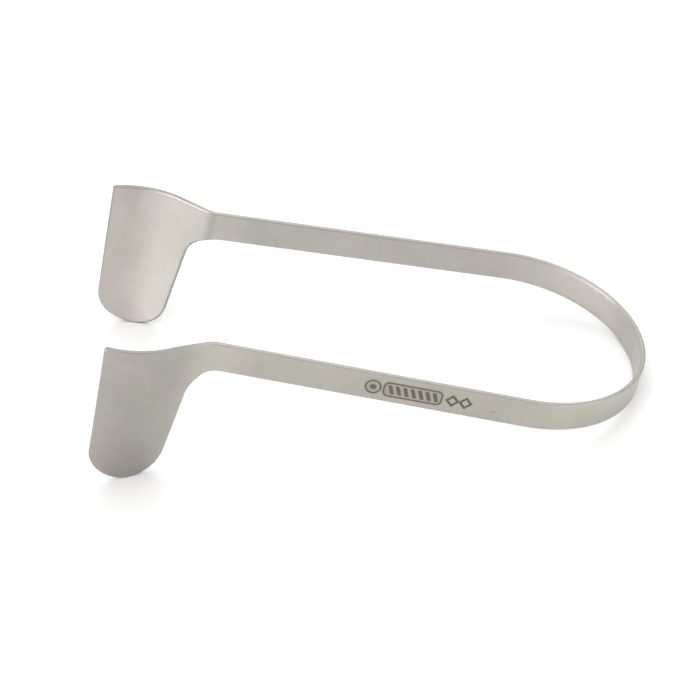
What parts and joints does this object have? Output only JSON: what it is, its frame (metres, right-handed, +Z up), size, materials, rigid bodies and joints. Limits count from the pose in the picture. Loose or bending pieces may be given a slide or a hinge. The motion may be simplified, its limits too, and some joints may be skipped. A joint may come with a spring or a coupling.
{
  "type": "cheek retractor",
  "caption": "Self-retaining spring cheek retractor: a bent stainless steel strip forms a U-shaped bow with arms that end in curved, downward cheek blades.",
  "frame": {"origin": "centre of the footprint, on the surface that the blade tips and the bow's lower edge stand on", "axes": "+X from the blades towards the bow, +Y towards the right arm as seen by the person who holds the bow, +Z up; the strip leans by 14.8 degrees about Y, as it stands on a table"},
  "size_m": [0.1408, 0.0726, 0.0417],
  "materials": {
    "satin_steel": "satin, bead-blasted faces with polished rims"
  },
  "bodies": {
    "crown": {"bow_crown": "satin_steel"},
    "left_shoulder": {"left_bow_shoulder": "satin_steel", "left_rear_arm": "satin_steel"},
    "left_arm": {"left_front_arm": "satin_steel", "left_blade": "satin_steel"},
    "right_shoulder": {"right_bow_shoulder": "satin_steel", "right_rear_arm": "satin_steel"},
    "right_arm": {"right_front_arm": "satin_steel", "right_blade": "satin_steel"}
  },
  "joints": [
    {"name": "left_bow_flex", "type": "hinge", "parent": "crown", "child": "left_shoulder", "pos_m": [0.05949, -0.02312, 0.00642], "axis": [-0.2561, 0, -0.9667], "range_deg": [-2, 9.5], "stiffness_Nm_per_rad": 4.6},
    {"name": "left_arm_flex", "type": "hinge", "parent": "left_shoulder", "child": "left_arm", "pos_m": [0.0078, -0.03027, 0.02011], "axis": [-0.2561, 0, -0.9667], "range_deg": [-1.6, 7.5], "stiffness_Nm_per_rad": 2.9},
    {"name": "right_bow_flex", "type": "hinge", "parent": "crown", "child": "right_shoulder", "pos_m": [0.05949, 0.02312, 0.00642], "axis": [0.2561, 0, 0.9667], "range_deg": [-2, 9.5], "stiffness_Nm_per_rad": 4.6},
    {"name": "right_arm_flex", "type": "hinge", "parent": "right_shoulder", "child": "right_arm", "pos_m": [0.0078, 0.03027, 0.02011], "axis": [0.2561, 0, 0.9667], "range_deg": [-1.6, 7.5], "stiffness_Nm_per_rad": 2.9}
  ],
  "couplings": [
    {"joint": "left_arm_flex", "follows": "left_bow_flex", "ratio": 0.78},
    {"joint": "right_bow_flex", "follows": "left_bow_flex", "ratio": 1},
    {"joint": "right_arm_flex", "follows": "left_bow_flex", "ratio": 0.78}
  ]
}
